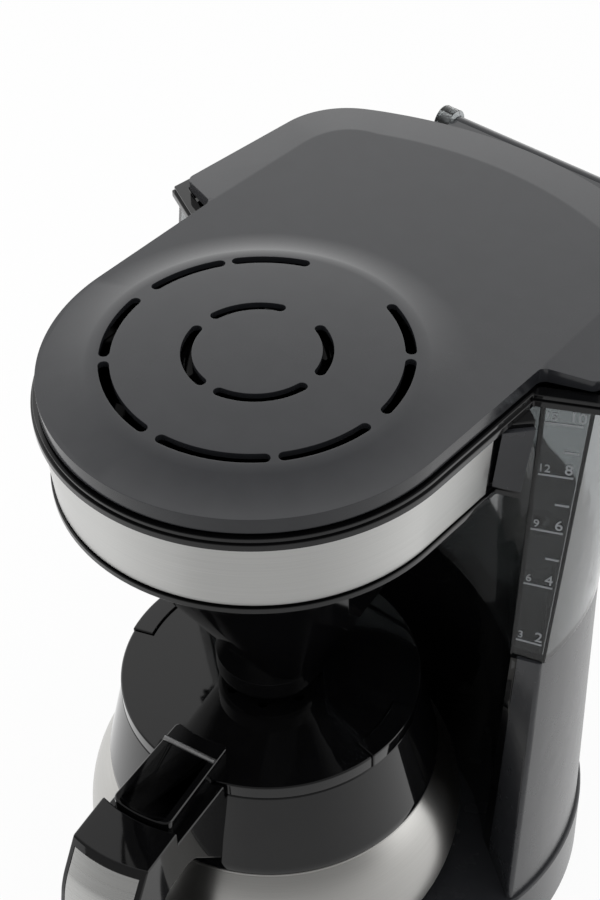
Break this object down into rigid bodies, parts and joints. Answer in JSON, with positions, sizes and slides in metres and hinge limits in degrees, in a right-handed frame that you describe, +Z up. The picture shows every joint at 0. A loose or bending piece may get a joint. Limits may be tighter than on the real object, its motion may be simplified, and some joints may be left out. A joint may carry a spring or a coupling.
{
  "type": "drip coffee maker",
  "caption": "Drip coffee maker with a hinged vented lid, clear water tank, lift-out cone filter and an insulated steel jug with a thumb-lever lid.",
  "frame": {"origin": "on the table, under the middle of the whole object's box, jug handle included", "axes": "+Z up, front with the jug handle towards -Y, +X to the right as seen from the front"},
  "size_m": [0.2204, 0.322, 0.3358],
  "materials": {
    "black_plastic": "gloss black moulded plastic",
    "lid_plastic": "charcoal semi-gloss moulded plastic",
    "grey_plastic": "dark grey semi-gloss moulded plastic",
    "clear_plastic": "clear moulded plastic",
    "brushed_steel": "brushed stainless steel",
    "steel_fittings": "plain steel",
    "heater_aluminium": "extruded aluminium",
    "rubber": "matt rubber",
    "silicone": "translucent silicone",
    "lamp_lens": "amber lamp window"
  },
  "bodies": {
    "machine": {"base_shell": "grey_plastic", "bottom_cover": "black_plastic", "rubber_feet": "rubber", "cover_screws": "steel_fittings", "switch_body": "black_plastic", "cable_inlet": "black_plastic", "flow_heater": "heater_aluminium", "heating_element": "steel_fittings", "thermostat": "steel_fittings", "thermal_fuse": "steel_fittings", "tank_hose": "silicone", "riser_hose": "silicone", "hose_clamps": "steel_fittings", "check_valve_body": "black_plastic", "check_valve_ball": "rubber", "tank_outlet_seal": "rubber", "riser_tube": "clear_plastic", "column_shell": "grey_plastic", "recess_wall": "black_plastic", "water_tank": "clear_plastic", "hinge_pins": "steel_fittings", "head_frame": "black_plastic", "head_housing": "black_plastic", "steel_band": "brushed_steel", "side_panel_right": "grey_plastic", "side_panel_left": "grey_plastic"},
    "lid": {"lid_cover": "lid_plastic", "water_guide": "black_plastic", "spray_plate": "black_plastic"},
    "filter": {"filter_basket": "black_plastic", "drip_spring": "steel_fittings"},
    "drip_stop": {"drip_plunger": "black_plastic", "drip_seal": "rubber"},
    "jug": {"jug_shell": "brushed_steel", "jug_base_cap": "black_plastic", "jug_flask": "brushed_steel", "jug_collar": "black_plastic", "jug_handle": "black_plastic", "handle_inlay": "brushed_steel", "handle_screw": "steel_fittings"},
    "jug_lid": {"jug_lid": "black_plastic", "lid_grips": "black_plastic", "lever_pin": "steel_fittings", "lid_seal": "rubber", "pour_spring": "steel_fittings"},
    "thumb_lever": {"thumb_lever": "black_plastic"},
    "pour_valve": {"pour_valve": "black_plastic"},
    "rocker": {"switch_rocker": "black_plastic", "switch_lens": "lamp_lens"}
  },
  "joints": [
    {"name": "lid_hinge", "type": "hinge", "parent": "machine", "child": "lid", "pos_m": [0, 0.1545, 0.3235], "axis": [-1, 0, 0], "range_deg": [0, 100]},
    {"name": "filter_lift", "type": "slide", "parent": "machine", "child": "filter", "axis": [0, 0, 1], "range_m": [0, 0.014]},
    {"name": "jug_pull", "type": "slide", "parent": "machine", "child": "jug", "axis": [0, -1, 0], "range_m": [0, 0.16]},
    {"name": "drip_stop_slide", "type": "slide", "parent": "filter", "child": "drip_stop", "axis": [0, 0, -1], "range_m": [0, 0.004], "deforming": ["drip_spring"]},
    {"name": "jug_lid_turn", "type": "hinge", "parent": "jug", "child": "jug_lid", "pos_m": [0, -0.024, 0.1587], "axis": [0, 0, 1], "range_deg": [0, 40]},
    {"name": "lever_press", "type": "hinge", "parent": "jug_lid", "child": "thumb_lever", "pos_m": [0.00962, -0.08475, 0.16923], "axis": [0.9877, 0.1564, 0], "range_deg": [0, 5.5]},
    {"name": "pour_valve_slide", "type": "slide", "parent": "jug_lid", "child": "pour_valve", "axis": [0, 0, -1], "range_m": [0, 0.004], "stiffness_N_per_m": 400, "springref_m": -0.004, "deforming": ["pour_spring"]},
    {"name": "switch_rock", "type": "hinge", "parent": "machine", "child": "rocker", "pos_m": [0, -0.1067, 0.019], "axis": [1, 0, 0], "range_deg": [0, 14]}
  ],
  "couplings": [
    {"joint": "drip_stop_slide", "follows": "jug_pull", "ratio": 0.025},
    {"joint": "lever_press", "follows": "pour_valve_slide", "rad_per_m": 23.998}
  ]
}
